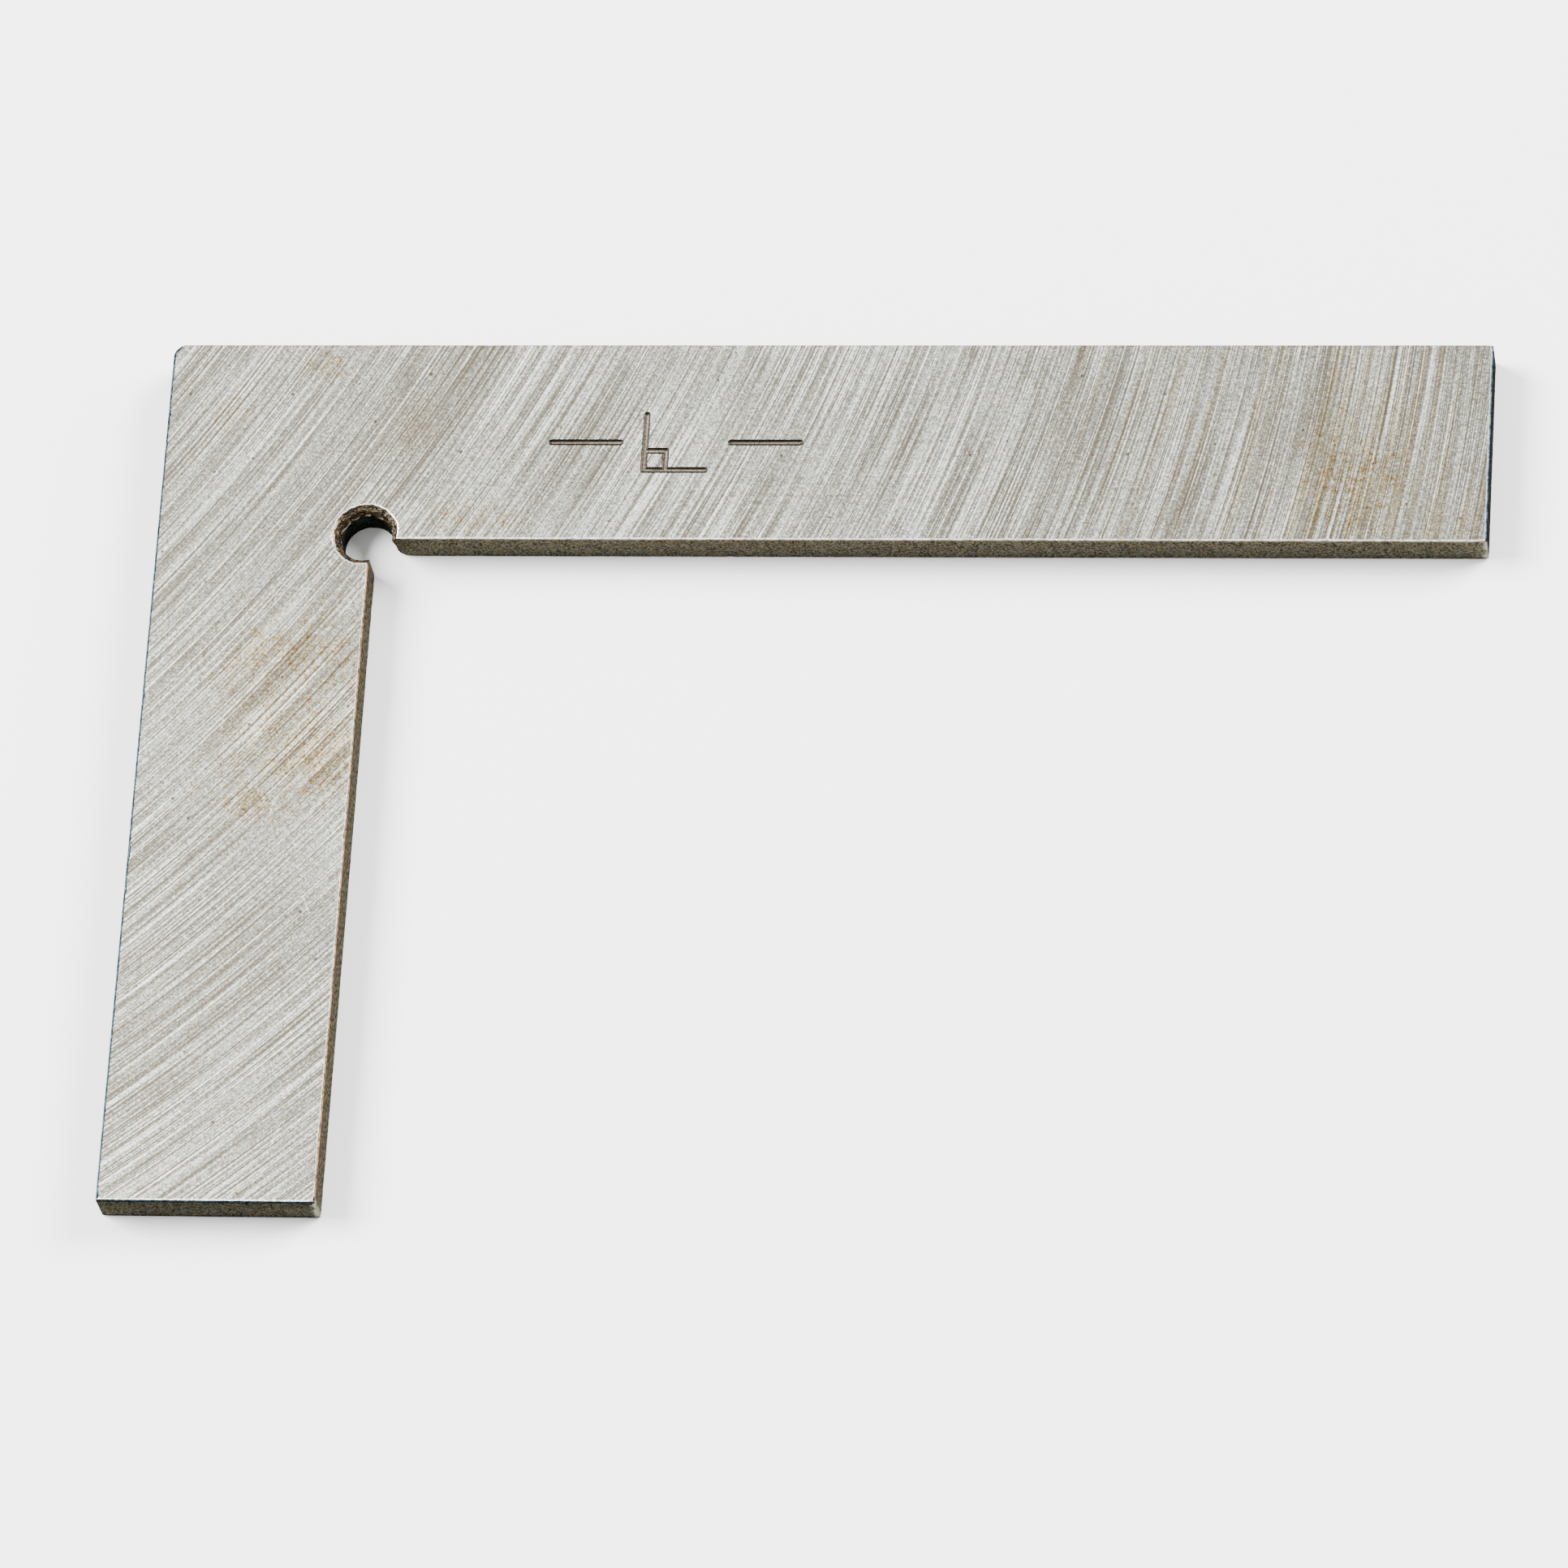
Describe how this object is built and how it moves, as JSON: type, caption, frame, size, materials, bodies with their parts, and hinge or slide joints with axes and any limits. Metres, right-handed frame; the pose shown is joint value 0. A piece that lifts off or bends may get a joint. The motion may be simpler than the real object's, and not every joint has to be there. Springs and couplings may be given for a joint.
{
  "type": "flat steel square",
  "caption": "Flat L-shaped steel square with two legs at a right angle, ground faces and a round relief hole at the inner corner.",
  "frame": {"origin": "middle of the base of the bounding box; the square lies on its back face", "axes": "+X from the outer corner along the long leg, -Y from the outer corner along the short leg, +Z out of the front face, through the thickness"},
  "size_m": [0.1, 0.07, 0.003],
  "materials": {
    "ground_steel": "surface ground, with fine curved grinding marks on the broad faces and darker, plain ground edges"
  },
  "bodies": {
    "root": {"square_plate": "ground_steel"}
  },
  "joints": []
}
